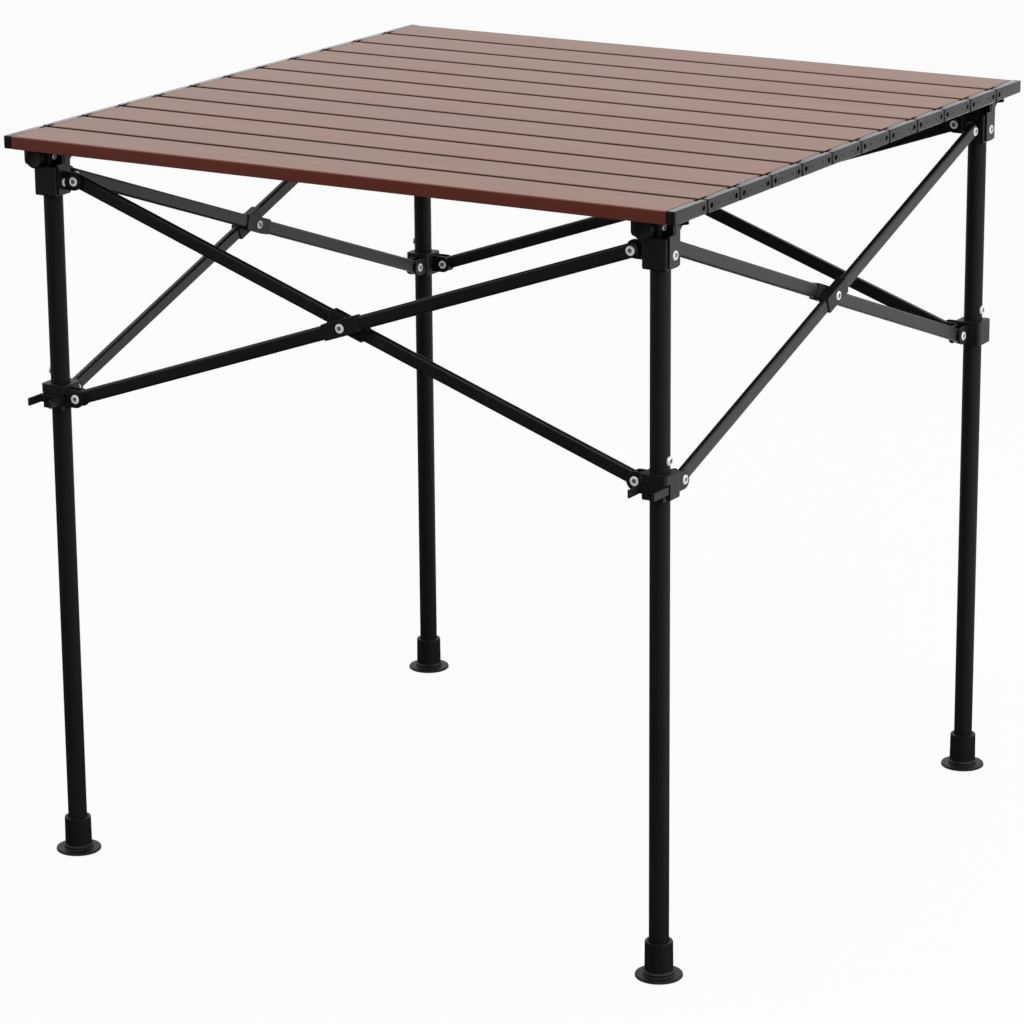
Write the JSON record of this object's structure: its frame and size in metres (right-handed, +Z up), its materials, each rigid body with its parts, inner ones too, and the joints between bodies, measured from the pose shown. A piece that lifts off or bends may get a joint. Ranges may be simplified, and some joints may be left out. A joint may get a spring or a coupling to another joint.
{
  "type": "folding picnic table",
  "caption": "Square folding picnic table: roll-up top of dark brown metal slats with black end caps on a black scissor frame of straight legs with sliding collars and flanged feet.",
  "frame": {"origin": "on the floor under the middle of the table", "axes": "+Z up; +X to the right along the slats; +Y from the front edge to the back edge"},
  "size_m": [0.7, 0.703, 0.7],
  "materials": {
    "slat": "brown anodised, satin, fine brushed grain along the slat",
    "end_cap": "black moulded plastic, fine texture",
    "leg": "black powder coat, semi-gloss",
    "foot": "black moulded plastic",
    "bar": "black powder coat, semi-gloss",
    "collar": "black moulded plastic",
    "lever": "black moulded plastic"
  },
  "bodies": {
    "leg_front_left": {"leg_front_left": "leg", "foot_front_left": "foot"},
    "leg_front_right": {"leg_front_right": "leg", "foot_front_right": "foot"},
    "leg_back_left": {"leg_back_left": "leg", "foot_back_left": "foot"},
    "leg_back_right": {"leg_back_right": "leg", "foot_back_right": "foot"},
    "scissor_bar_front_a": {"scissor_bar_front_a": "bar"},
    "scissor_bar_front_b": {"scissor_bar_front_b": "bar"},
    "scissor_bar_left_a": {"scissor_bar_left_a": "bar"},
    "scissor_bar_left_b": {"scissor_bar_left_b": "bar"},
    "scissor_bar_right_a": {"scissor_bar_right_a": "bar"},
    "scissor_bar_right_b": {"scissor_bar_right_b": "bar"},
    "scissor_bar_back_a": {"scissor_bar_back_a": "bar"},
    "scissor_bar_back_b": {"scissor_bar_back_b": "bar"},
    "collar_front_left": {"collar_front_left": "collar"},
    "collar_front_right": {"collar_front_right": "collar"},
    "collar_back_left": {"collar_back_left": "collar"},
    "collar_back_right": {"collar_back_right": "collar"},
    "release_lever_front_left": {"release_lever_front_left": "lever"},
    "release_lever_front_right": {"release_lever_front_right": "lever"},
    "slat_01": {"slat_01": "slat", "end_cap_01_left": "end_cap", "end_cap_01_right": "end_cap"},
    "slat_02": {"slat_02": "slat", "end_cap_02_left": "end_cap", "end_cap_02_right": "end_cap"},
    "slat_03": {"slat_03": "slat", "end_cap_03_left": "end_cap", "end_cap_03_right": "end_cap"},
    "slat_04": {"slat_04": "slat", "end_cap_04_left": "end_cap", "end_cap_04_right": "end_cap"},
    "slat_05": {"slat_05": "slat", "end_cap_05_left": "end_cap", "end_cap_05_right": "end_cap"},
    "slat_06": {"slat_06": "slat", "end_cap_06_left": "end_cap", "end_cap_06_right": "end_cap"},
    "slat_07": {"slat_07": "slat", "end_cap_07_left": "end_cap", "end_cap_07_right": "end_cap"},
    "slat_08": {"slat_08": "slat", "end_cap_08_left": "end_cap", "end_cap_08_right": "end_cap"},
    "slat_09": {"slat_09": "slat", "end_cap_09_left": "end_cap", "end_cap_09_right": "end_cap"},
    "slat_10": {"slat_10": "slat", "end_cap_10_left": "end_cap", "end_cap_10_right": "end_cap"},
    "slat_11": {"slat_11": "slat", "end_cap_11_left": "end_cap", "end_cap_11_right": "end_cap"},
    "slat_12": {"slat_12": "slat", "end_cap_12_left": "end_cap", "end_cap_12_right": "end_cap"}
  },
  "joints": [
    {"name": "frame_fold", "type": "hinge", "parent": "leg_front_left", "child": "scissor_bar_front_a", "pos_m": [-0.2945, -0.319, 0.657], "axis": [0, 1, 0], "range_deg": [0, 57]},
    {"name": "front_crossing", "type": "hinge", "parent": "scissor_bar_front_a", "child": "scissor_bar_front_b", "pos_m": [0, -0.319, 0.555], "axis": [0, 1, 0], "range_deg": [-114, 0]},
    {"name": "front_right_leg_pivot", "type": "hinge", "parent": "scissor_bar_front_b", "child": "leg_front_right", "pos_m": [0.2945, -0.319, 0.657], "axis": [0, 1, 0], "range_deg": [0, 57]},
    {"name": "front_right_collar_pivot", "type": "hinge", "parent": "scissor_bar_front_a", "child": "collar_front_right", "pos_m": [0.2945, -0.319, 0.453], "axis": [0, 1, 0], "range_deg": [-57, 0]},
    {"name": "front_left_collar_pivot", "type": "hinge", "parent": "scissor_bar_front_b", "child": "collar_front_left", "pos_m": [-0.2945, -0.319, 0.453], "axis": [0, 1, 0], "range_deg": [0, 57]},
    {"name": "left_bar_pivot", "type": "hinge", "parent": "leg_front_left", "child": "scissor_bar_left_a", "pos_m": [-0.319, -0.2945, 0.657], "axis": [1, 0, 0], "range_deg": [-57, 0]},
    {"name": "left_crossing", "type": "hinge", "parent": "scissor_bar_left_a", "child": "scissor_bar_left_b", "pos_m": [-0.319, 0, 0.555], "axis": [1, 0, 0], "range_deg": [0, 114]},
    {"name": "back_left_leg_pivot", "type": "hinge", "parent": "scissor_bar_left_b", "child": "leg_back_left", "pos_m": [-0.319, 0.2945, 0.657], "axis": [1, 0, 0], "range_deg": [-57, 0]},
    {"name": "back_left_collar_pivot", "type": "hinge", "parent": "scissor_bar_left_a", "child": "collar_back_left", "pos_m": [-0.319, 0.2945, 0.453], "axis": [1, 0, 0], "range_deg": [0, 57]},
    {"name": "right_bar_pivot", "type": "hinge", "parent": "leg_front_right", "child": "scissor_bar_right_a", "pos_m": [0.319, -0.2945, 0.657], "axis": [1, 0, 0], "range_deg": [-57, 0]},
    {"name": "right_crossing", "type": "hinge", "parent": "scissor_bar_right_a", "child": "scissor_bar_right_b", "pos_m": [0.319, 0, 0.555], "axis": [1, 0, 0], "range_deg": [0, 114]},
    {"name": "back_right_leg_pivot", "type": "hinge", "parent": "scissor_bar_right_b", "child": "leg_back_right", "pos_m": [0.319, 0.2945, 0.657], "axis": [1, 0, 0], "range_deg": [-57, 0]},
    {"name": "back_right_collar_pivot", "type": "hinge", "parent": "scissor_bar_right_a", "child": "collar_back_right", "pos_m": [0.319, 0.2945, 0.453], "axis": [1, 0, 0], "range_deg": [0, 57]},
    {"name": "back_bar_pivot", "type": "hinge", "parent": "leg_back_left", "child": "scissor_bar_back_a", "pos_m": [-0.2945, 0.319, 0.657], "axis": [0, 1, 0], "range_deg": [0, 57]},
    {"name": "back_crossing", "type": "hinge", "parent": "scissor_bar_back_a", "child": "scissor_bar_back_b", "pos_m": [0, 0.319, 0.555], "axis": [0, 1, 0], "range_deg": [-114, 0]},
    {"name": "lever_front_left", "type": "hinge", "parent": "collar_front_left", "child": "release_lever_front_left", "pos_m": [-0.319, -0.329, 0.4512], "axis": [-1, 0, 0], "range_deg": [0, 12], "stiffness_Nm_per_rad": 0.05},
    {"name": "lever_front_right", "type": "hinge", "parent": "collar_front_right", "child": "release_lever_front_right", "pos_m": [0.319, -0.329, 0.4512], "axis": [-1, 0, 0], "range_deg": [0, 12], "stiffness_Nm_per_rad": 0.05},
    {"name": "top_lift", "type": "slide", "parent": "leg_front_left", "child": "slat_01", "axis": [0, 0, 1], "range_m": [0, 0.15]},
    {"name": "top_roll", "type": "hinge", "parent": "slat_01", "child": "slat_02", "pos_m": [0, -0.29258, 0.694], "axis": [1, 0, 0], "range_deg": [0, 22]},
    {"name": "slat_hinge_03", "type": "hinge", "parent": "slat_02", "child": "slat_03", "pos_m": [0, -0.23407, 0.694], "axis": [1, 0, 0], "range_deg": [0, 22]},
    {"name": "slat_hinge_04", "type": "hinge", "parent": "slat_03", "child": "slat_04", "pos_m": [0, -0.17555, 0.694], "axis": [1, 0, 0], "range_deg": [0, 22]},
    {"name": "slat_hinge_05", "type": "hinge", "parent": "slat_04", "child": "slat_05", "pos_m": [0, -0.11703, 0.694], "axis": [1, 0, 0], "range_deg": [0, 22]},
    {"name": "slat_hinge_06", "type": "hinge", "parent": "slat_05", "child": "slat_06", "pos_m": [0, -0.05852, 0.694], "axis": [1, 0, 0], "range_deg": [0, 22]},
    {"name": "slat_hinge_07", "type": "hinge", "parent": "slat_06", "child": "slat_07", "pos_m": [0, 0, 0.694], "axis": [1, 0, 0], "range_deg": [0, 22]},
    {"name": "slat_hinge_08", "type": "hinge", "parent": "slat_07", "child": "slat_08", "pos_m": [0, 0.05852, 0.694], "axis": [1, 0, 0], "range_deg": [0, 22]},
    {"name": "slat_hinge_09", "type": "hinge", "parent": "slat_08", "child": "slat_09", "pos_m": [0, 0.11703, 0.694], "axis": [1, 0, 0], "range_deg": [0, 22]},
    {"name": "slat_hinge_10", "type": "hinge", "parent": "slat_09", "child": "slat_10", "pos_m": [0, 0.17555, 0.694], "axis": [1, 0, 0], "range_deg": [0, 22]},
    {"name": "slat_hinge_11", "type": "hinge", "parent": "slat_10", "child": "slat_11", "pos_m": [0, 0.23407, 0.694], "axis": [1, 0, 0], "range_deg": [0, 22]},
    {"name": "slat_hinge_12", "type": "hinge", "parent": "slat_11", "child": "slat_12", "pos_m": [0, 0.29258, 0.694], "axis": [1, 0, 0], "range_deg": [0, 22]}
  ],
  "couplings": [
    {"joint": "front_crossing", "follows": "frame_fold", "ratio": -2},
    {"joint": "front_right_leg_pivot", "follows": "frame_fold", "ratio": 1},
    {"joint": "front_right_collar_pivot", "follows": "frame_fold", "ratio": -1},
    {"joint": "front_left_collar_pivot", "follows": "frame_fold", "ratio": 1},
    {"joint": "left_bar_pivot", "follows": "frame_fold", "ratio": -1},
    {"joint": "left_crossing", "follows": "frame_fold", "ratio": 2},
    {"joint": "back_left_leg_pivot", "follows": "frame_fold", "ratio": -1},
    {"joint": "back_left_collar_pivot", "follows": "frame_fold", "ratio": 1},
    {"joint": "right_bar_pivot", "follows": "frame_fold", "ratio": -1},
    {"joint": "right_crossing", "follows": "frame_fold", "ratio": 2},
    {"joint": "back_right_leg_pivot", "follows": "frame_fold", "ratio": -1},
    {"joint": "back_right_collar_pivot", "follows": "frame_fold", "ratio": 1},
    {"joint": "back_bar_pivot", "follows": "frame_fold", "ratio": 1},
    {"joint": "back_crossing", "follows": "frame_fold", "ratio": -2},
    {"joint": "slat_hinge_03", "follows": "top_roll", "ratio": 1},
    {"joint": "slat_hinge_04", "follows": "top_roll", "ratio": 1},
    {"joint": "slat_hinge_05", "follows": "top_roll", "ratio": 1},
    {"joint": "slat_hinge_06", "follows": "top_roll", "ratio": 1},
    {"joint": "slat_hinge_07", "follows": "top_roll", "ratio": 1},
    {"joint": "slat_hinge_08", "follows": "top_roll", "ratio": 1},
    {"joint": "slat_hinge_09", "follows": "top_roll", "ratio": 1},
    {"joint": "slat_hinge_10", "follows": "top_roll", "ratio": 1},
    {"joint": "slat_hinge_11", "follows": "top_roll", "ratio": 1},
    {"joint": "slat_hinge_12", "follows": "top_roll", "ratio": 1}
  ]
}
